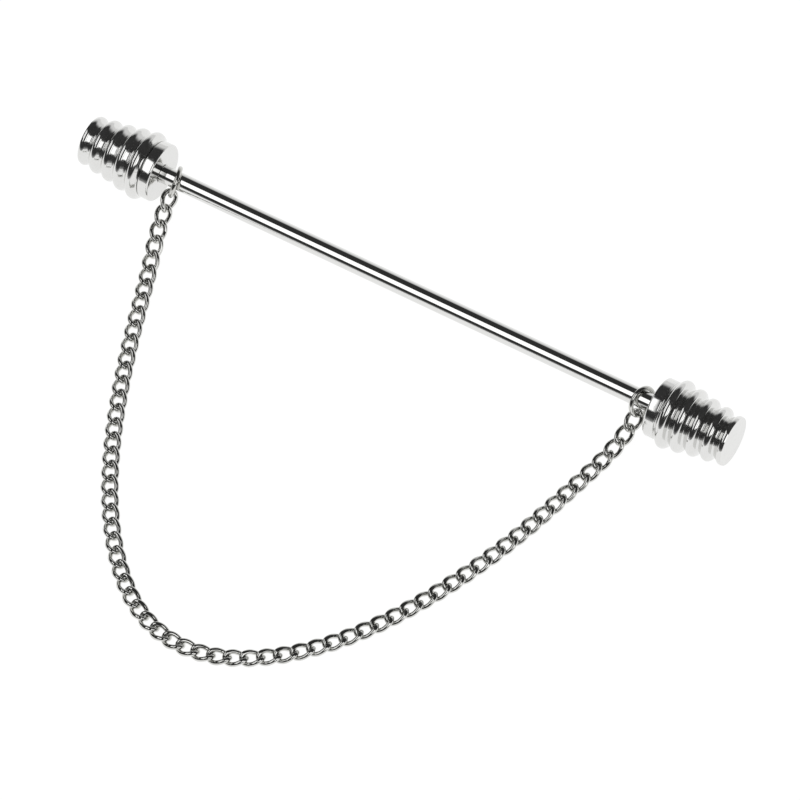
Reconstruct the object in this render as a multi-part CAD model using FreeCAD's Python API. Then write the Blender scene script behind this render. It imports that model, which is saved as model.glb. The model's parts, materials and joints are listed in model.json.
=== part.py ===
import FreeCAD, Part
import math
import os

from FreeCAD import Placement, Rotation, Vector

# Collar bar: a round rod with a screw-on ribbed knob at each end, a jump ring
# hanging on the rod beside each knob, and a curb chain between the two rings.
# Millimetres. The rod lies along X and +Z is up. The origin is on the rod's axis,
# half way along it. The largest ribs of the knobs and the chain rest on one surface.

# rod and thread
ROD_DIAMETER = 1.5
ROD_SPAN = 46.4          # bare rod between the two knobs
STUD_DIAMETER = 1.4      # thread's outside diameter
STUD_LENGTH = 3.2        # threaded end inside each knob
STUD_CHAMFER = 0.15
THREAD_CLEARANCE = 0.03  # radial, between stud and threaded bore

# knob: a threaded collar with a spigot, and a ribbed barrel pressed on the spigot
COLLAR_DIAMETER = 5.0
COLLAR_LENGTH = 1.0
COLLAR_FILLET = 0.18
SPIGOT_DIAMETER = 3.0
SPIGOT_LENGTH = 2.6
SPIGOT_CLEARANCE = 0.02  # radial, between spigot and barrel
SPIGOT_END_GAP = 0.2
RIB_DIAMETERS = (5.86, 5.46, 4.98, 4.66, 4.24)
RIB_PITCH = 1.27
RIB_DEPTH = 0.46
RIB_RADIUS = 0.4         # roundness of a rib's crest
GROOVE_RADIUS = 0.18     # roundness of the groove between two ribs
END_REACH = 0.2          # from the last rib's crest to the flat end face

# jump rings
RING_WIRE = 0.4
RING_PLAY = 0.07         # left in the ring beside the rod and one link
RING_SPLIT = 0.04        # closed cut in the ring wire
RING_HANG_GAP = 0.03     # between the ring and the top of the rod
RING_INSET = 1.3         # ring centre from its knob
RING_PULL_ANGLE = 51.0   # degrees the chain draws the rings away from straight down
RING_LEAN = 22.0         # degrees that each ring turns out of square with the rod
SPLIT_POSITION = 70.0    # degrees round the ring from its lowest point

# chain
LINK_COUNT = 66
LINK_WIRE = 0.4
LINK_OPENING = 0.7       # width inside a link
LINK_TWIST = -100.0      # degrees from one end of a link to the other
SEAT_GAP = 0.02          # between two wires that bear on each other
CHAIN_DROP = 35.6        # how far the chain's bight lies in front of the rod
DESCENT = 7.0            # run in which the chain comes down from the ring
LEFT_END_ROLLS = (-48.0, -36.0, -24.0, -12.0)  # extra roll of the links from a ring on
RIGHT_END_ROLLS = (24.0, 14.0, 6.0)
LINKS_PER_NODE = 2

# chain's path in plan as it lies: share of half the ring spacing, share of the drop
PATH_SHAPE = (
    (-0.982, 0.08), (-0.927, 0.184), (-0.846, 0.33), (-0.758, 0.474), (-0.658, 0.613),
    (-0.534, 0.75), (-0.343, 0.897), (-0.143, 0.982), (-0.025, 0.999), (0.094, 0.995),
    (0.318, 0.93), (0.533, 0.795), (0.693, 0.631), (0.813, 0.457), (0.886, 0.311),
    (0.947, 0.163), (0.978, 0.095),
)
PATH_SAMPLES = 1600
HEIGHT_PASSES = 3        # the pitch and the height of the lying links settle together
LINK_QUARTERS = 4        # stretches of a link's wire, two arcs in each

# derived sizes
ROD_RADIUS = ROD_DIAMETER / 2
STUD_RADIUS = STUD_DIAMETER / 2
SURFACE = -max(RIB_DIAMETERS + (COLLAR_DIAMETER,)) / 2
COLLAR_FACE = ROD_SPAN / 2
RING_INNER = ROD_DIAMETER + LINK_WIRE + RING_PLAY
RING_RADIUS = (RING_INNER + RING_WIRE) / 2
RING_DROP = RING_INNER / 2 - ROD_RADIUS - RING_HANG_GAP
LINK_HALF_WIDTH = (LINK_OPENING + LINK_WIRE) / 2
X_AXIS = Vector(1, 0, 0)
Z_AXIS = Vector(0, 0, 1)


def revolve(edges):
    """Solid of revolution about X from a closed outline in the XY plane."""
    face = Part.Face(Part.Wire(edges))
    return face.revolve(Vector(0, 0, 0), X_AXIS, 360)


def polyline(points):
    return [Part.makeLine(a, b) for a, b in zip(points, points[1:])]


def rod():
    """Plain rod with a smaller threaded stud at each end, drawn at the thread's outside diameter."""
    shoulder = ROD_SPAN / 2
    end = shoulder + STUD_LENGTH
    tip = STUD_RADIUS - STUD_CHAMFER
    right = [
        Vector(shoulder, ROD_RADIUS, 0),
        Vector(shoulder, STUD_RADIUS, 0),
        Vector(end - STUD_CHAMFER, STUD_RADIUS, 0),
        Vector(end, tip, 0),
        Vector(end, 0, 0),
    ]
    left = [Vector(-p.x, p.y, 0) for p in reversed(right)]
    return revolve(polyline(left + right + left[:1]))


def collar():
    """Threaded collar: plain band, then the spigot that carries the barrel. Starts at x = 0."""
    bore = STUD_RADIUS + THREAD_CLEARANCE
    outer = COLLAR_DIAMETER / 2
    spigot = SPIGOT_DIAMETER / 2
    end = COLLAR_LENGTH + SPIGOT_LENGTH
    outline = [
        Vector(0, bore, 0),
        Vector(0, outer, 0),
        Vector(COLLAR_LENGTH, outer, 0),
        Vector(COLLAR_LENGTH, spigot, 0),
        Vector(end, spigot, 0),
        Vector(end, bore, 0),
        Vector(0, bore, 0),
    ]
    solid = revolve(polyline(outline))
    rims = [e for e in solid.Edges if abs(e.BoundBox.YLength - COLLAR_DIAMETER) < 0.001]
    return solid.makeFillet(COLLAR_FILLET, rims)


def tangent_points(crest, groove):
    """Ends of the straight flank between a rib's crest circle and a groove's circle."""
    line = groove - crest
    apart = line.Length
    line.normalize()
    outward = Vector(-line.y, line.x, 0)
    if outward.y < 0:
        outward = -outward
    lean = math.acos((RIB_RADIUS + GROOVE_RADIUS) / apart)
    normal = line * math.cos(lean) + outward * math.sin(lean)
    return crest + normal * RIB_RADIUS, groove - normal * GROOVE_RADIUS


def barrel():
    """Ribbed barrel: round ribs that get smaller towards a flat end, bored for the spigot."""
    bore = SPIGOT_DIAMETER / 2 + SPIGOT_CLEARANCE
    bore_end = COLLAR_LENGTH + SPIGOT_LENGTH + SPIGOT_END_GAP
    start = COLLAR_LENGTH
    end = start + RIB_PITCH * (len(RIB_DIAMETERS) - 0.5) + END_REACH
    tops = [d / 2 for d in RIB_DIAMETERS]
    crests = []
    for i, top in enumerate(tops):
        crests.append(Vector(start + (i + 0.5) * RIB_PITCH, top - RIB_RADIUS, 0))
    floors = [tops[0] - RIB_DEPTH]
    floors += [(a + b) / 2 - RIB_DEPTH for a, b in zip(tops, tops[1:])]
    grooves = [Vector(start + i * RIB_PITCH, f + GROOVE_RADIUS, 0) for i, f in enumerate(floors)]
    lip = grooves[0] - Vector(0, GROOVE_RADIUS, 0)
    outline = []
    here = lip
    for i, groove in enumerate(grooves):
        rise, arrive = tangent_points(crests[i], groove)
        bottom = groove - Vector(0, GROOVE_RADIUS, 0)
        if i == 0:
            middle = groove + ((lip - groove) + (arrive - groove)).normalize() * GROOVE_RADIUS
            outline.append(Part.Arc(lip, middle, arrive).toShape())
        else:
            outline.append(Part.Arc(here, bottom, arrive).toShape())
        outline.append(Part.makeLine(arrive, rise))
        top = crests[i] + Vector(0, RIB_RADIUS, 0)
        if i + 1 < len(grooves):
            leave, here = tangent_points(crests[i], grooves[i + 1])
            outline.append(Part.Arc(rise, top, leave).toShape())
            outline.append(Part.makeLine(leave, here))
        else:
            here = Vector(end, top.y - RIB_RADIUS + math.sqrt(RIB_RADIUS ** 2 - END_REACH ** 2), 0)
            outline.append(Part.Arc(rise, top, here).toShape())
    outline += polyline([
        here,
        Vector(end, 0, 0),
        Vector(bore_end, 0, 0),
        Vector(bore_end, bore, 0),
        Vector(start, bore, 0),
        lip,
    ])
    return revolve(outline)


def on_right(solid):
    """Puts a knob piece, drawn from x = 0 outwards, on the right end of the rod."""
    placed = solid.copy()
    placed.translate(Vector(COLLAR_FACE, 0, 0))
    return placed


def on_left(solid):
    """The same piece turned half round Z, on the left end of the rod."""
    placed = solid.copy()
    placed.rotate(Vector(0, 0, 0), Z_AXIS, 180)
    placed.translate(Vector(-COLLAR_FACE, 0, 0))
    return placed


def pull_direction():
    """From the rod's axis to the point where the chain bears on a ring."""
    angle = math.radians(RING_PULL_ANGLE)
    return Vector(0, -math.sin(angle), -math.cos(angle))


def ring_x(side):
    return side * (COLLAR_FACE - RING_INSET)


def jump_ring(side):
    """Round wire ring with a closed cut, hung on the rod and drawn towards the chain."""
    pull = pull_direction()
    centre = Vector(ring_x(side), 0, 0) + pull * RING_DROP
    normal = Rotation(pull, side * RING_LEAN).multVec(X_AXIS)
    gap = math.degrees(RING_SPLIT / RING_RADIUS)
    ring = Part.makeTorus(RING_RADIUS, RING_WIRE / 2, Vector(0, 0, 0), Z_AXIS, 0, 360, 360 - gap)
    frame = Rotation(pull, normal.cross(pull), normal, "ZXY")
    turned = frame.multiply(Rotation(Z_AXIS, SPLIT_POSITION))
    ring.Placement = Placement(centre, turned)
    return ring


def link_half_length(pitch):
    """Half length of a link's centreline, so that neighbours seat at the pitch."""
    return (pitch + LINK_WIRE + SEAT_GAP) / 2


def link_point(t, half_length):
    """Point and direction of the link's twisted oval centreline, at t radians round it."""
    twist = math.radians(LINK_TWIST) / (2 * half_length)
    x = half_length * math.cos(t)
    side = LINK_HALF_WIDTH * math.sin(t)
    dx = -half_length * math.sin(t)
    dside = LINK_HALF_WIDTH * math.cos(t)
    c = math.cos(twist * x)
    s = math.sin(twist * x)
    point = Vector(x, side * c, side * s)
    direction = Vector(dx, dside * c - side * twist * dx * s, dside * s + side * twist * dx * c)
    return point, direction.normalize()


def arc_pair(start, end):
    """Two tangent arcs between two (point, direction) pairs, each as start, corner, end."""
    p0, t0 = start
    p1, t1 = end
    chord = p1 - p0
    both = t0 + t1
    a = 4 - both.dot(both)
    b = 2 * chord.dot(both)
    c = -chord.dot(chord)
    reach = (math.sqrt(b * b - 4 * a * c) - b) / (2 * a)
    corner0 = p0 + t0 * reach
    corner1 = p1 - t1 * reach
    middle = (corner0 + corner1) * 0.5
    return (p0, corner0, middle), (middle, corner1, p1)


def bent_wire(start, corner, end, diameter):
    """Round wire along the arc that leaves start towards corner and arrives at end."""
    along = (corner - start).normalize()
    chord = end - start
    axis = along.cross(chord).normalize()
    inward = axis.cross(along)
    radius = chord.dot(chord) / (2 * chord.dot(inward))
    turn = 2 * math.degrees(math.asin(chord.Length / (2 * radius)))
    disc = Part.Face(Part.Wire(Part.makeCircle(diameter / 2, start, along)))
    return disc.revolve(start + inward * radius, axis, turn)


def curb_link(half_length):
    """Oval wire link, twisted about its length so that the chain can lie flat."""
    pieces = []
    for i in range(LINK_QUARTERS):
        start = link_point(2 * math.pi * i / LINK_QUARTERS, half_length)
        end = link_point(2 * math.pi * (i + 1) / LINK_QUARTERS, half_length)
        for arc in arc_pair(start, end):
            pieces.append(bent_wire(*arc, LINK_WIRE))
    return pieces[0].multiFuse(pieces[1:]).Solids[0]


def bearing_point(side):
    """Where the end link bears on a ring."""
    reach = RING_DROP + RING_RADIUS - (RING_WIRE + SEAT_GAP) / 2
    return Vector(ring_x(side), 0, 0) + pull_direction() * reach


def chain_path(rest_height):
    """Closely spaced points from the left ring to the right ring, at the links' centres."""
    left = bearing_point(-1)
    right = bearing_point(1)
    half = (right.x - left.x) / 2
    middle = (right.x + left.x) / 2
    plan = [Vector(left.x, left.y, 0)]
    plan += [Vector(middle + half * u, left.y - (CHAIN_DROP + left.y) * v, 0) for u, v in PATH_SHAPE]
    plan.append(Vector(right.x, right.y, 0))
    curve = Part.BSplineCurve()
    curve.interpolate(plan)
    flat = curve.discretize(Number=PATH_SAMPLES)
    run = curve.length() / (PATH_SAMPLES - 1)
    path = []
    for i, p in enumerate(flat):
        from_end = min(i, PATH_SAMPLES - 1 - i) * run
        share = max(0.0, 1 - from_end / DESCENT)
        path.append(Vector(p.x, p.y, rest_height + (left.z - rest_height) * share ** 2))
    return path


def evenly_spaced(path, count):
    """count + 1 points at equal distances along the path, and that distance."""
    marks = [0.0]
    for a, b in zip(path, path[1:]):
        marks.append(marks[-1] + a.distanceToPoint(b))
    pitch = marks[-1] / count
    points = []
    k = 0
    for i in range(count + 1):
        target = min(i * pitch, marks[-1])
        while k < len(marks) - 2 and marks[k + 1] < target:
            k += 1
        share = (target - marks[k]) / (marks[k + 1] - marks[k])
        points.append(path[k] + (path[k + 1] - path[k]) * share)
    return points, pitch


def end_roll(index):
    """Extra roll of a link, largest beside a ring, that sets its end square to the ring's wire."""
    if index < len(LEFT_END_ROLLS):
        return LEFT_END_ROLLS[index]
    from_right = LINK_COUNT - 1 - index
    return RIGHT_END_ROLLS[from_right] if from_right < len(RIGHT_END_ROLLS) else 0.0


def place_link(link, start, end, roll):
    """Lays a link from one bearing point to the next, flat side up, then rolls it."""
    along = (end - start).normalize()
    across = Z_AXIS.cross(along).normalize()
    frame = Rotation(along, across, along.cross(across), "XYZ")
    placed = link.copy()
    placed.Placement = Placement((start + end) * 0.5, frame.multiply(Rotation(X_AXIS, roll)))
    return placed


def chain_links():
    """The chain's links, in order from the left ring to the right ring."""
    rest_height = SURFACE
    for _ in range(HEIGHT_PASSES):
        joints, pitch = evenly_spaced(chain_path(rest_height), LINK_COUNT)
        link = curb_link(link_half_length(pitch))
        rest_height = SURFACE - link.optimalBoundingBox(False).ZMin
    links = []
    for i in range(LINK_COUNT):
        links.append(place_link(link, joints[i], joints[i + 1], end_roll(i)))
    return links, joints, pitch


def export(name, shapes):
    shape = shapes[0] if len(shapes) == 1 else Part.makeCompound(shapes)
    shape.exportStep("parts/" + name + ".step")


def main():
    os.makedirs("parts", exist_ok=True)
    export("rod", [rod()])
    export("left_collar", [on_left(collar())])
    export("left_barrel", [on_left(barrel())])
    export("right_collar", [on_right(collar())])
    export("right_barrel", [on_right(barrel())])
    export("left_ring", [jump_ring(-1)])
    export("right_ring", [jump_ring(1)])
    links, joints, pitch = chain_links()
    for i in range(0, LINK_COUNT, LINKS_PER_NODE):
        group = links[i:i + LINKS_PER_NODE]
        export("links_%02d_%02d" % (i + 1, i + len(group)), group)
    print("chain pitch", round(pitch, 4), "link volume", round(links[0].Volume, 4))
    for i in (0, 16, 34, 50, 66):
        print("bearing", i, [round(v, 4) for v in joints[i]])


main()
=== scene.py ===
import json
import math

import bmesh
import bpy
import numpy as np
from mathutils import Matrix, Vector

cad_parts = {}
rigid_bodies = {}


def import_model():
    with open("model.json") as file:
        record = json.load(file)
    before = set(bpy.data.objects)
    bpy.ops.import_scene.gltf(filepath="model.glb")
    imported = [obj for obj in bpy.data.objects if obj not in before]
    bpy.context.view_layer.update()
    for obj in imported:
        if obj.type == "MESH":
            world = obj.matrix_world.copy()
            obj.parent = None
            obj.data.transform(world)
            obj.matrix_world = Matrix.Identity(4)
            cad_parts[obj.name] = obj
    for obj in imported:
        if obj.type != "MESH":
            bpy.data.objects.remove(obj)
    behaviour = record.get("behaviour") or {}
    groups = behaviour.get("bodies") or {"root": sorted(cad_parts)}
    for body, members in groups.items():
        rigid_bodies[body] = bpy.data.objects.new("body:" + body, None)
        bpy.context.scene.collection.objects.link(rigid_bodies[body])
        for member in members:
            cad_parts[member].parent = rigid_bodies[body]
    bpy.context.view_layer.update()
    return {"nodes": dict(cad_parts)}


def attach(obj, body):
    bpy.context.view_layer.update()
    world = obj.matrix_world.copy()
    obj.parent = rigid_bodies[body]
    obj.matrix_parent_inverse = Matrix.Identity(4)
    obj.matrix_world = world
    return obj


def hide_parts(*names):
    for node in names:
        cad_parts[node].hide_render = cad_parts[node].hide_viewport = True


# Collar bar in chrome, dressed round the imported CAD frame. Metres, +X along the rod,
# +Z up, the chain towards -Y. The typed sizes below are the CAD model's own.
MM = 0.001

for leftover in list(bpy.data.objects):
    bpy.data.objects.remove(leftover)
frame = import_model()
scene = bpy.context.scene

# sizes that the CAD model gives, in millimetres
ROD_RADIUS = 0.75
ROD_SPAN = 46.4
STUD_RADIUS = 0.7
STUD_LENGTH = 3.2
STUD_CHAMFER = 0.15
SHOULDER_EDGE = 0.05
THREAD_PITCH = 0.3
THREAD_DEPTH = 0.17
BORE_RADIUS = 0.73
BORE_MOUTH = 0.12
COLLAR_RADIUS = 2.5
COLLAR_LENGTH = 1.0
COLLAR_FILLET = 0.18
SPIGOT_RADIUS = 1.5
SPIGOT_LENGTH = 2.6
SPIGOT_CHAMFER = 0.1
BARREL_BORE = 1.52
BARREL_BORE_DEPTH = 3.8
RIB_RADII = (2.93, 2.73, 2.49, 2.33, 2.12)
RIB_PITCH = 1.27
RIB_DEPTH = 0.46
CREST_RADIUS = 0.4
GROOVE_RADIUS = 0.18
END_REACH = 0.2
RING_WIRE = 0.4
RING_RADIUS = 1.185
RING_SPLIT = 0.04
SPLIT_POSITION = 70.0
LINK_WIRE = 0.4
LINK_HALF_WIDTH = 0.55
LINK_TWIST = math.radians(-100)
LINK_QUARTERS = 4
SURFACE = -2.93

# how finely the meshes are made
LATHE_SIDES = 192
STATIONS_PER_THREAD = 14
ROD_STEPS = 40
ARC_STEP = math.radians(7)
LINK_ARC_STATIONS = 9
WIRE_SIDES = 20
RING_STATIONS = 160
RING_SIDES = 36


# ---------------------------------------------------------------- mesh helpers

def new_piece(name, verts, faces, smooth=True):
    mesh = bpy.data.meshes.new(name)
    mesh.from_pydata([tuple(v) for v in verts], [], faces)
    mesh.validate()
    for polygon in mesh.polygons:
        polygon.use_smooth = smooth
    piece = bpy.data.objects.new(name, mesh)
    scene.collection.objects.link(piece)
    return piece


def recalc_outside(piece):
    work = bmesh.new()
    work.from_mesh(piece.data)
    bmesh.ops.remove_doubles(work, verts=work.verts, dist=1e-8)
    bmesh.ops.recalc_face_normals(work, faces=work.faces)
    work.to_mesh(piece.data)
    work.free()


def crease(piece, angle):
    """Smooth shading that keeps edges sharper than the angle."""
    piece.data.shade_smooth()
    piece.data.set_sharp_from_angle(angle=angle)


def lathe(name, profile, side):
    """Closed outline of (x, radius) points in millimetres, turned about the X axis.

    side is 1 on the right and -1 for its mirror image on the left.
    """
    verts = []
    rings = []
    for x, r in profile:
        if r < 1e-6:
            rings.append([len(verts)] * LATHE_SIDES)
            verts.append((side * x * MM, 0, 0))
            continue
        rings.append(list(range(len(verts), len(verts) + LATHE_SIDES)))
        for k in range(LATHE_SIDES):
            a = 2 * math.pi * k / LATHE_SIDES
            verts.append((side * x * MM, r * MM * math.cos(a), r * MM * math.sin(a)))
    faces = []
    for this, after in zip(rings, rings[1:] + rings[:1]):
        for k in range(LATHE_SIDES):
            n = (k + 1) % LATHE_SIDES
            corners = [this[k], this[n], after[n], after[k]]
            face = [c for i, c in enumerate(corners) if c not in corners[:i]]
            if len(face) > 2:
                faces.append(face)
    piece = new_piece(name, verts, faces)
    recalc_outside(piece)
    crease(piece, math.radians(28))
    return piece


def arc(centre, radius, start, end):
    """Points on an arc from one angle to another, in radians, both ends included."""
    steps = max(2, math.ceil(abs(end - start) / ARC_STEP))
    points = []
    for k in range(steps + 1):
        a = start + (end - start) * k / steps
        points.append((centre[0] + radius * math.cos(a), centre[1] + radius * math.sin(a)))
    return points


# ---------------------------------------------------------------- materials

# noise scales per metre, and the noise values between which each effect sets in
FILM_SCALE = 420
FILM_FROM, FILM_TO = 0.42, 0.78
SCUFF_SCALE = 5200
SCUFF_FROM, SCUFF_TO = 0.35, 0.75
SMOOTHEST, ROUGHEST = 0.7, 1.6     # shares of a material's roughness
WAVE_SCALE = 900
WAVE_HEIGHT = 0.00002


def chrome_material(name, color, roughness, tarnish_and_shade_color, tarnish_and_shade, waviness):
    """Polished plate: fine scuffs, faint waviness and a darker film in random patches; on the
    chain and the rings the darker base and film are partly painted shade and painted dark
    reflection.
    """
    material = bpy.data.materials.new(name)
    material.use_nodes = True
    tree = material.node_tree
    tree.nodes.clear()
    node = tree.nodes.new
    link = tree.links.new
    out = node("ShaderNodeOutputMaterial")
    metal = node("ShaderNodeBsdfPrincipled")
    metal.inputs["Metallic"].default_value = 1.0
    link(metal.outputs[0], out.inputs[0])
    place = node("ShaderNodeTexCoord")

    film = node("ShaderNodeTexNoise")
    film.inputs["Scale"].default_value = FILM_SCALE
    film.inputs["Detail"].default_value = 5
    film.inputs["Roughness"].default_value = 0.62
    link(place.outputs["Object"], film.inputs["Vector"])
    patches = node("ShaderNodeMapRange")
    patches.inputs["From Min"].default_value = FILM_FROM
    patches.inputs["From Max"].default_value = FILM_TO
    patches.inputs["To Max"].default_value = tarnish_and_shade
    link(film.outputs[0], patches.inputs["Value"])
    tint = node("ShaderNodeMix")
    tint.data_type = "RGBA"
    tint.inputs[6].default_value = (*color, 1)
    tint.inputs[7].default_value = (*tarnish_and_shade_color, 1)
    link(patches.outputs[0], tint.inputs[0])
    link(tint.outputs[2], metal.inputs["Base Color"])

    scuffs = node("ShaderNodeTexNoise")
    scuffs.inputs["Scale"].default_value = SCUFF_SCALE
    scuffs.inputs["Detail"].default_value = 4
    link(place.outputs["Object"], scuffs.inputs["Vector"])
    haze = node("ShaderNodeMapRange")
    haze.inputs["From Min"].default_value = SCUFF_FROM
    haze.inputs["From Max"].default_value = SCUFF_TO
    haze.inputs["To Min"].default_value = roughness * SMOOTHEST
    haze.inputs["To Max"].default_value = roughness * ROUGHEST
    link(scuffs.outputs[0], haze.inputs["Value"])
    link(haze.outputs[0], metal.inputs["Roughness"])

    ripple = node("ShaderNodeTexNoise")
    ripple.inputs["Scale"].default_value = WAVE_SCALE
    ripple.inputs["Detail"].default_value = 2
    link(place.outputs["Object"], ripple.inputs["Vector"])
    wave = node("ShaderNodeBump")
    wave.inputs["Strength"].default_value = waviness
    wave.inputs["Distance"].default_value = WAVE_HEIGHT
    link(ripple.outputs[0], wave.inputs["Height"])
    link(wave.outputs[0], metal.inputs["Normal"])
    return material


def dress(piece, material, body, *nodes):
    piece.data.materials.clear()
    piece.data.materials.append(material)
    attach(piece, body)
    if nodes:
        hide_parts(*nodes)
    return piece


BAR_CHROME = chrome_material(
    "bar_chrome", color=(0.74, 0.74, 0.73), roughness=0.05,
    tarnish_and_shade_color=(0.68, 0.68, 0.66), tarnish_and_shade=0.35, waviness=0.05)
KNOB_CHROME = chrome_material(
    "knob_chrome", color=(0.74, 0.74, 0.73), roughness=0.11,
    tarnish_and_shade_color=(0.67, 0.67, 0.65), tarnish_and_shade=0.45, waviness=0.08)
# rings: darker base and a darker, slightly warm film in random patches, partly tarnish and partly
# painted shade and painted brownish reflection
RING_CHROME = chrome_material(
    "ring_chrome", color=(0.66, 0.66, 0.64), roughness=0.10,
    tarnish_and_shade_color=(0.46, 0.45, 0.42), tarnish_and_shade=0.6, waviness=0.14)
# chain: darker base and a much darker film in random patches, partly tarnish and partly painted
# shade and painted dark reflection among the links
CHAIN_CHROME = chrome_material(
    "chain_chrome", color=(0.67, 0.67, 0.65), roughness=0.05,
    tarnish_and_shade_color=(0.42, 0.42, 0.39), tarnish_and_shade=0.6, waviness=0.06)


# ---------------------------------------------------------------- rod with threaded studs

def thread_radius(x, turn):
    """Radius of the threaded stud, x from its shoulder, at an angle given in turns."""
    phase = (x / THREAD_PITCH - turn) % 1.0
    flank = min(1.0, max(0.0, abs(phase - 0.5) * 2.6 - 0.15))
    run_in = min(1.0, max(0.0, (x - 0.12) / 0.3))
    return STUD_RADIUS - THREAD_DEPTH * (1 - flank) * run_in


def rod_stations():
    """(x, radius) along the rod from right to left, where a radius of None is threaded."""
    shoulder = ROD_SPAN / 2
    end = shoulder + STUD_LENGTH
    right = [(end, 0.0), (end, STUD_RADIUS - STUD_CHAMFER)]
    steps = int(STUD_LENGTH / THREAD_PITCH * STATIONS_PER_THREAD)
    for k in range(steps, -1, -1):
        right.append((shoulder + STUD_LENGTH * k / steps, None))
    half_edge = SHOULDER_EDGE / 2
    right += [(shoulder, ROD_RADIUS - half_edge), (shoulder - half_edge, ROD_RADIUS)]
    left = [(-x, r) for x, r in reversed(right)]
    plain = ROD_SPAN - 2.0
    middle = []
    for k in range(ROD_STEPS + 1):
        middle.append((shoulder - 1.0 - plain * k / ROD_STEPS, ROD_RADIUS))
    return right + middle + left


def rod_piece():
    sides = LATHE_SIDES
    stations = rod_stations()
    verts = []
    for x, r in stations:
        for k in range(sides):
            turn = k / sides
            radius = r
            if r is None:
                out = abs(x) - ROD_SPAN / 2
                hand = turn if x > 0 else -turn
                tip = STUD_RADIUS - max(0.0, out - STUD_LENGTH + STUD_CHAMFER)
                radius = min(thread_radius(out, hand), tip)
            a = 2 * math.pi * turn
            verts.append((x * MM, radius * MM * math.cos(a), radius * MM * math.sin(a)))
    faces = []
    for s in range(len(stations) - 1):
        here = s * sides
        there = here + sides
        for k in range(sides):
            n = (k + 1) % sides
            faces.append([here + k, here + n, there + n, there + k])
    piece = new_piece("rod_polished", verts, faces)
    recalc_outside(piece)
    crease(piece, math.radians(40))
    return piece


dress(rod_piece(), BAR_CHROME, "bar", "rod")


# ---------------------------------------------------------------- knobs

def collar_profile():
    x0 = ROD_SPAN / 2
    end = x0 + COLLAR_LENGTH
    f = COLLAR_FILLET
    tip = end + SPIGOT_LENGTH
    outline = [(x0, BORE_RADIUS + BORE_MOUTH)]
    outline += arc((x0 + f, COLLAR_RADIUS - f), f, math.pi, math.pi / 2)
    outline += arc((end - f, COLLAR_RADIUS - f), f, math.pi / 2, 0)
    outline += [
        (end, SPIGOT_RADIUS),
        (tip - SPIGOT_CHAMFER, SPIGOT_RADIUS),
        (tip, SPIGOT_RADIUS - SPIGOT_CHAMFER),
        (tip, BORE_RADIUS),
        (x0 + BORE_MOUTH, BORE_RADIUS),
    ]
    return outline


def flank_normal(crest, groove):
    """Angle of the normal to the straight flank between a crest circle and a groove circle."""
    line = Vector(groove) - Vector(crest)
    heading = math.atan2(line.y, line.x)
    lean = math.acos((CREST_RADIUS + GROOVE_RADIUS) / line.length)
    return heading + lean if line.x > 0 else heading - lean


def barrel_profile():
    start = ROD_SPAN / 2 + COLLAR_LENGTH
    end = start + RIB_PITCH * (len(RIB_RADII) - 0.5) + END_REACH
    floors = [RIB_RADII[0] - RIB_DEPTH]
    floors += [(a + b) / 2 - RIB_DEPTH for a, b in zip(RIB_RADII, RIB_RADII[1:])]
    crests = []
    grooves = []
    for i, top in enumerate(RIB_RADII):
        crests.append((start + (i + 0.5) * RIB_PITCH, top - CREST_RADIUS))
        grooves.append((start + i * RIB_PITCH, floors[i] + GROOVE_RADIUS))
    outline = []
    came = -math.pi / 2
    for i, groove in enumerate(grooves):
        rise = flank_normal(crests[i], groove) % (2 * math.pi)
        outline += arc(groove, GROOVE_RADIUS, came, rise - math.pi)
        if i + 1 < len(grooves):
            fall = flank_normal(crests[i], grooves[i + 1])
            came = fall - math.pi
        else:
            fall = math.acos(END_REACH / CREST_RADIUS)
        outline += arc(crests[i], CREST_RADIUS, rise, fall)
    bore_end = ROD_SPAN / 2 + BARREL_BORE_DEPTH
    outline += [(end, 0.0), (bore_end, 0.0), (bore_end, BARREL_BORE), (start, BARREL_BORE)]
    return outline


for side, word in ((-1, "left"), (1, "right")):
    band = lathe(word + "_collar_polished", collar_profile(), side)
    dress(band, KNOB_CHROME, word + "_collar", word + "_collar")
    ribs = lathe(word + "_barrel_polished", barrel_profile(), side)
    dress(ribs, KNOB_CHROME, word + "_barrel", word + "_barrel")


# ---------------------------------------------------------------- wire pieces

def wire_tube(name, points, directions, radius, sides, closed, place):
    """Round wire along given points, with the cross-section carried round without twist."""
    count = len(points)
    normals = []
    normal = directions[0].orthogonal().normalized()
    for t in directions:
        normal = (normal - t * normal.dot(t)).normalized()
        normals.append(normal)
    spin = 0.0
    if closed:
        back = (normals[-1] - directions[0] * normals[-1].dot(directions[0])).normalized()
        spin = back.angle(normals[0])
        if back.cross(normals[0]).dot(directions[0]) < 0:
            spin = -spin
    verts = []
    for i in range(count):
        n = Matrix.Rotation(spin * i / count, 3, directions[i]) @ normals[i]
        b = directions[i].cross(n)
        for k in range(sides):
            a = 2 * math.pi * k / sides
            p = points[i] + (n * math.cos(a) + b * math.sin(a)) * radius
            verts.append(place @ (p * MM))
    faces = []
    for i in range(count if closed else count - 1):
        j = (i + 1) % count
        for k in range(sides):
            n = (k + 1) % sides
            faces.append([i * sides + k, i * sides + n, j * sides + n, j * sides + k])
    if not closed:
        faces.append(list(range(sides - 1, -1, -1)))
        faces.append([(count - 1) * sides + k for k in range(sides)])
    piece = new_piece(name, verts, faces)
    recalc_outside(piece)
    return piece


def mesh_arrays(obj):
    mesh = obj.data
    co = np.zeros(len(mesh.vertices) * 3)
    mesh.vertices.foreach_get("co", co)
    mesh.calc_loop_triangles()
    tri = np.zeros(len(mesh.loop_triangles) * 3, np.int64)
    mesh.loop_triangles.foreach_get("vertices", tri)
    return co.reshape(-1, 3), tri.reshape(-1, 3)


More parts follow.
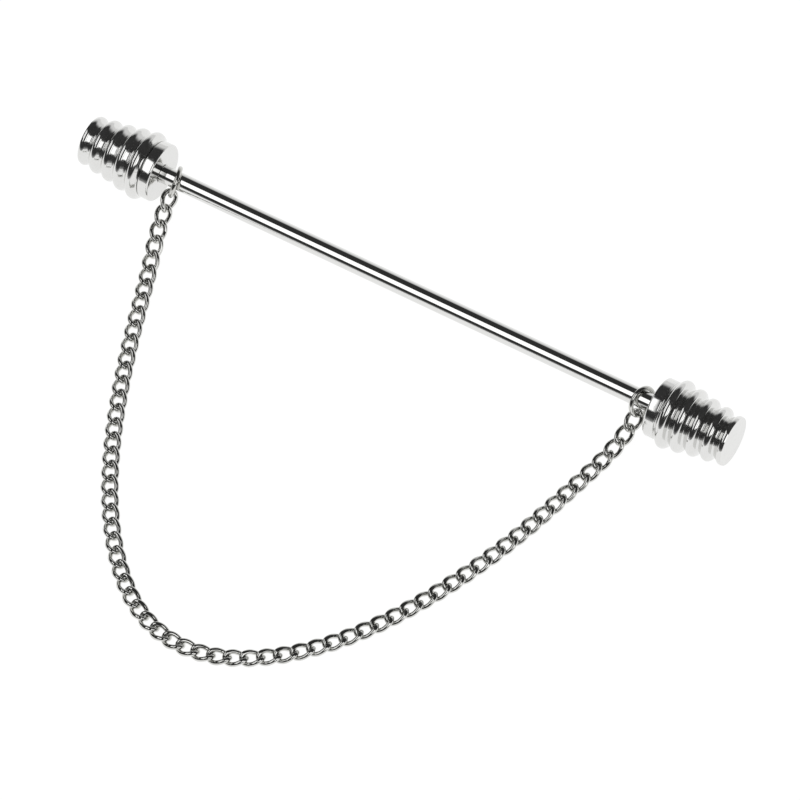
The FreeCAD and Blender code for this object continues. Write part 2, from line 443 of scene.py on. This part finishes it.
def separate_solids(obj):
    """Triangle corners of each separate solid in a node, in order along its mesh."""
    co, tri = mesh_arrays(obj)
    _, weld = np.unique(np.round(co, 7), axis=0, return_inverse=True)
    weld = weld.reshape(-1)
    tri_w = weld[tri]
    label = np.arange(weld.max() + 1)
    while True:
        low = label[tri_w].min(axis=1)
        fresh = label.copy()
        for c in range(3):
            np.minimum.at(fresh, tri_w[:, c], low)
        fresh = fresh[fresh]
        if np.array_equal(fresh, label):
            break
        label = fresh
    owner = label[tri_w[:, 0]]
    return [co[tri[owner == one]] for one in np.unique(owner)]


def own_frame(corners):
    """A solid's centre, its principal directions with the longest first, and its length."""
    a, b, c = corners[:, 0], corners[:, 1], corners[:, 2]
    area = np.linalg.norm(np.cross(b - a, c - a), axis=1) / 2
    mid = (a + b + c) / 3
    centre = (mid * area[:, None]).sum(0) / area.sum()
    spread = np.zeros((3, 3))
    for point, weight in ((a, 1), (b, 1), (c, 1), (mid, 9)):
        q = point - centre
        spread += weight * np.einsum("i,ij,ik->jk", area, q, q)
    vectors = np.linalg.eigh(spread)[1]
    x = vectors[:, 2]
    y = vectors[:, 1]
    z = np.cross(x, y)
    along = (corners.reshape(-1, 3) - centre) @ x
    rotation = Matrix(np.stack([x, y, z], axis=1).tolist())
    return Vector(centre.tolist()), rotation, float(along.max() - along.min())


def link_point(t, half_length):
    """Point and direction of a link's twisted oval centreline, at t radians round it."""
    twist = LINK_TWIST / (2 * half_length)
    x = half_length * math.cos(t)
    wide = LINK_HALF_WIDTH * math.sin(t)
    dx = -half_length * math.sin(t)
    dwide = LINK_HALF_WIDTH * math.cos(t)
    c = math.cos(twist * x)
    s = math.sin(twist * x)
    slope = Vector((dx, dwide * c - wide * twist * dx * s, dwide * s + wide * twist * dx * c))
    return Vector((x, wide * c, wide * s)), slope.normalized()


def arc_pair(start, end):
    """Start, direction and end of two tangent arcs between two (point, direction) pairs."""
    p0, t0 = start
    p1, t1 = end
    chord = p1 - p0
    both = t0 + t1
    a = 4 - both.dot(both)
    b = 2 * chord.dot(both)
    c = -chord.dot(chord)
    reach = (math.sqrt(b * b - 4 * a * c) - b) / (2 * a)
    corner0 = p0 + t0 * reach
    corner1 = p1 - t1 * reach
    middle = (corner0 + corner1) / 2
    return (p0, t0, middle), (middle, (corner1 - middle).normalized(), p1)


def along_arc(start, heading, end, count):
    """count points and directions along an arc, without its end."""
    chord = end - start
    inward = (chord - heading * chord.dot(heading)).normalized()
    radius = chord.dot(chord) / (2 * chord.dot(inward))
    turn = 2 * math.asin(chord.length / (2 * radius))
    made = []
    for k in range(count):
        c = math.cos(turn * k / count)
        s = math.sin(turn * k / count)
        point = start + heading * (radius * s) + inward * (radius * (1 - c))
        made.append((point, heading * c + inward * s))
    return made


def link_line(half_length):
    """Points and directions round a link, on the same arcs as the CAD model's wire."""
    made = []
    for i in range(LINK_QUARTERS):
        start = link_point(2 * math.pi * i / LINK_QUARTERS, half_length)
        end = link_point(2 * math.pi * (i + 1) / LINK_QUARTERS, half_length)
        for arc_run in arc_pair(start, end):
            made += along_arc(*arc_run, LINK_ARC_STATIONS)
    return [p for p, _ in made], [d for _, d in made]


def link_pieces(node):
    body = frame["nodes"][node].parent.name.split(":")[-1]
    first = int(node[6:8])
    for k, corners in enumerate(separate_solids(frame["nodes"][node])):
        centre, rotation, length = own_frame(corners)
        points, directions = link_line((length / MM - LINK_WIRE) / 2)
        place = Matrix.Translation(centre) @ rotation.to_4x4()
        name = "link_%02d" % (first + k)
        piece = wire_tube(name, points, directions, LINK_WIRE / 2, WIRE_SIDES, True, place)
        dress(piece, CHAIN_CHROME, body, node)


for node in sorted(n for n in frame["nodes"] if n.startswith("links_")):
    link_pieces(node)


def ring_piece(node):
    corners = separate_solids(frame["nodes"][node])[0]
    lo = corners.reshape(-1, 3).min(0)
    hi = corners.reshape(-1, 3).max(0)
    centre = Vector(((lo + hi) / 2).tolist())
    _, rotation, _ = own_frame(corners)
    normal = rotation.col[2].normalized()
    if normal.x < 0:
        normal = -normal
    down = Vector((0, centre.y, centre.z)).normalized()
    down = (down - normal * down.dot(normal)).normalized()
    sideways = normal.cross(down)
    gap = RING_SPLIT / RING_RADIUS
    first = math.radians(SPLIT_POSITION)
    points = []
    directions = []
    for k in range(RING_STATIONS):
        a = first + (2 * math.pi - gap) * k / (RING_STATIONS - 1)
        points.append((down * math.cos(a) + sideways * math.sin(a)) * RING_RADIUS)
        directions.append(sideways * math.cos(a) - down * math.sin(a))
    piece = wire_tube(node + "_wire", points, directions, RING_WIRE / 2, RING_SIDES, False,
                      Matrix.Translation(centre))
    crease(piece, math.radians(40))
    dress(piece, RING_CHROME, "rings", node)


ring_piece("left_ring")
ring_piece("right_ring")


# ---------------------------------------------------------------- floor, world and lamps

FLOOR_HALF = 0.6
FLOOR_PAINT = (0.9, 0.9, 0.9, 1)
FLOOR_GLOW = 1.1
GLOW_SHARE = 0.85     # the rest is paint, which keeps the object's shadow


def floor():
    """Pale floor that camera, glossy and transmission rays see as nearly white."""
    z = SURFACE * MM
    corners = ((-1, -1), (1, -1), (1, 1), (-1, 1))
    verts = [(x * FLOOR_HALF, y * FLOOR_HALF, z) for x, y in corners]
    piece = new_piece("floor", verts, [[0, 1, 2, 3]], smooth=False)
    material = bpy.data.materials.new("pale_floor")
    material.use_nodes = True
    tree = material.node_tree
    tree.nodes.clear()
    node = tree.nodes.new
    link = tree.links.new
    out = node("ShaderNodeOutputMaterial")
    paint = node("ShaderNodeBsdfDiffuse")
    paint.inputs["Color"].default_value = FLOOR_PAINT
    glow = node("ShaderNodeEmission")
    glow.inputs["Color"].default_value = (1, 1, 1, 1)
    glow.inputs["Strength"].default_value = FLOOR_GLOW
    path = node("ShaderNodeLightPath")
    seen = node("ShaderNodeMath")
    seen.operation = "MAXIMUM"
    link(path.outputs["Is Camera Ray"], seen.inputs[0])
    link(path.outputs["Is Glossy Ray"], seen.inputs[1])
    seen_too = node("ShaderNodeMath")
    seen_too.operation = "MAXIMUM"
    link(seen.outputs[0], seen_too.inputs[0])
    link(path.outputs["Is Transmission Ray"], seen_too.inputs[1])
    share = node("ShaderNodeMath")
    share.operation = "MULTIPLY"
    share.inputs[1].default_value = GLOW_SHARE
    link(seen_too.outputs[0], share.inputs[0])
    mix = node("ShaderNodeMixShader")
    link(share.outputs[0], mix.inputs[0])
    link(paint.outputs[0], mix.inputs[1])
    link(glow.outputs[0], mix.inputs[2])
    link(mix.outputs[0], out.inputs[0])
    piece.data.materials.append(material)


floor()


# The room that the metal reflects, as directions in degrees: tilt is from straight up
# towards -Y, aside is towards +X. A window is (from, to, width of its soft edges).
LEFT_BOX_TILT = (4, 50, 3)
LEFT_BOX_ASIDE = (-50, -15, 3)
LEFT_BOX_CORNER = 19.0     # beyond this far aside the left box leans
LEFT_BOX_LEAN = 0.6
RIGHT_BOX_TILT = (6, 46, 4)
RIGHT_BOX_ASIDE = (19, 78, 5)
LEFT_FRAME_ASIDE = (-37, -28, 3)
RIGHT_FRAME_ASIDE = (39, 47, 3)
FRAME_DARKNESS = 0.85
WALL_TILT = (-76, -54)
WALL_ASIDE = (-44, 40, 16)
HAZE_TILT = (74, 96)
HAZE_LEVEL = 0.5
BOX_LEVEL = 1.9
PALE_LEVEL = 0.97
DARK_LEVEL = 0.042
PLAIN_LEVEL = 0.8          # what lights the floor and other matt surfaces


def studio():
    """White room seen by the camera; for reflections a dark room with softboxes in it."""
    world = bpy.data.worlds.new("studio")
    scene.world = world
    world.use_nodes = True
    tree = world.node_tree
    tree.nodes.clear()
    node = tree.nodes.new
    link = tree.links.new

    def math_node(operation, a, b=None, clamp=False):
        made = node("ShaderNodeMath")
        made.operation = operation
        made.use_clamp = clamp
        for i, value in enumerate((a, b)):
            if value is None:
                continue
            if isinstance(value, (int, float)):
                made.inputs[i].default_value = value
            else:
                link(value, made.inputs[i])
        return made.outputs[0]

    def step(value, low, high):
        made = node("ShaderNodeMapRange")
        made.interpolation_type = "SMOOTHSTEP"
        made.inputs["From Min"].default_value = low
        made.inputs["From Max"].default_value = high
        link(value, made.inputs["Value"])
        return made.outputs[0]

    place = node("ShaderNodeTexCoord")
    parts = node("ShaderNodeSeparateXYZ")
    link(place.outputs["Generated"], parts.inputs[0])
    x, y, z = parts.outputs
    forward = math_node("MULTIPLY", y, -1.0)
    tilt = math_node("MULTIPLY", math_node("ARCTAN2", forward, z), 180 / math.pi)
    aside = math_node("MULTIPLY", math_node("ARCSINE", x), 180 / math.pi)

    def window(value, low, high, soft):
        rise = step(value, low - soft / 2, low + soft / 2)
        fall = step(value, high - soft / 2, high + soft / 2)
        return math_node("SUBTRACT", rise, fall, clamp=True)

    far_aside = math_node("MINIMUM", math_node("ADD", aside, LEFT_BOX_CORNER), 0.0)
    slanted = math_node("SUBTRACT", tilt, math_node("MULTIPLY", far_aside, LEFT_BOX_LEAN))
    left_box = math_node("MULTIPLY", window(slanted, *LEFT_BOX_TILT),
                         window(aside, *LEFT_BOX_ASIDE))
    right_box = math_node("MULTIPLY", window(tilt, *RIGHT_BOX_TILT),
                          window(aside, *RIGHT_BOX_ASIDE))
    frames = math_node("ADD", window(aside, *LEFT_FRAME_ASIDE), window(aside, *RIGHT_FRAME_ASIDE))
    open_front = math_node("SUBTRACT", 1.0, math_node("MULTIPLY", frames, FRAME_DARKNESS))
    box = math_node("MULTIPLY", math_node("ADD", left_box, right_box), open_front)
    wall = math_node("SUBTRACT", 1.0, step(tilt, *WALL_TILT), clamp=True)
    wall = math_node("MULTIPLY", wall, window(aside, *WALL_ASIDE))
    haze = math_node("MULTIPLY", step(tilt, *HAZE_TILT), HAZE_LEVEL)
    below = math_node("SUBTRACT", 1.0, step(z, -0.02, 0.0), clamp=True)
    pale = math_node("MAXIMUM", math_node("MAXIMUM", wall, haze), below)
    level = math_node("ADD", math_node("MULTIPLY", box, BOX_LEVEL),
                      math_node("MULTIPLY", pale, PALE_LEVEL))
    level = math_node("ADD", level, DARK_LEVEL)

    path = node("ShaderNodeLightPath")
    reflected = node("ShaderNodeBackground")
    link(level, reflected.inputs["Strength"])
    plain = node("ShaderNodeBackground")
    plain.inputs["Strength"].default_value = PLAIN_LEVEL
    white = node("ShaderNodeBackground")
    white.inputs["Strength"].default_value = 1.0
    glossy = node("ShaderNodeMixShader")
    link(path.outputs["Is Glossy Ray"], glossy.inputs[0])
    link(plain.outputs[0], glossy.inputs[1])
    link(reflected.outputs[0], glossy.inputs[2])
    camera = node("ShaderNodeMixShader")
    link(path.outputs["Is Camera Ray"], camera.inputs[0])
    link(glossy.outputs[0], camera.inputs[1])
    link(white.outputs[0], camera.inputs[2])
    out = node("ShaderNodeOutputWorld")
    link(camera.outputs[0], out.inputs[0])


studio()


def soft_lamp(name, towards, distance, size, power):
    data = bpy.data.lights.new(name, "AREA")
    data.shape = "SQUARE"
    data.size = size
    data.energy = power
    lamp = bpy.data.objects.new(name, data)
    lamp.location = Vector(towards).normalized() * distance
    lamp.rotation_mode = "QUATERNION"
    lamp.rotation_quaternion = (-lamp.location).to_track_quat("-Z", "Y")
    lamp.visible_glossy = False
    scene.collection.objects.link(lamp)


soft_lamp("soft_top", (-0.2, -0.5, 1.0), 0.5, 0.35, 0.5)


# ---------------------------------------------------------------- camera

AZIMUTH = math.radians(37.9)
ELEVATION = math.radians(58.5)
ROLL = math.radians(-8.1)
DISTANCE = 0.57
LOOKS_AT = Vector((3.81, -7.83, SURFACE)) * MM
SENSOR = 36
FOCAL_PIXELS = 7125
IMAGE_PIXELS = 800
camera_data = bpy.data.cameras.new("camera")
camera_data.sensor_width = SENSOR
camera_data.lens = SENSOR * FOCAL_PIXELS / IMAGE_PIXELS
camera_data.clip_start = 0.01
camera_data.clip_end = 10
camera = bpy.data.objects.new("camera", camera_data)
scene.collection.objects.link(camera)
scene.camera = camera
back = Vector((math.sin(AZIMUTH) * math.cos(ELEVATION),
               -math.cos(AZIMUTH) * math.cos(ELEVATION),
               math.sin(ELEVATION)))
level_right = Vector((0, 0, 1)).cross(back).normalized()
level_up = back.cross(level_right)
right = level_right * math.cos(ROLL) + level_up * math.sin(ROLL)
up = level_up * math.cos(ROLL) - level_right * math.sin(ROLL)
camera.location = LOOKS_AT + back * DISTANCE
camera.rotation_mode = "QUATERNION"
camera.rotation_quaternion = Matrix((right, up, back)).transposed().to_quaternion()

scene.view_settings.view_transform = "Standard"
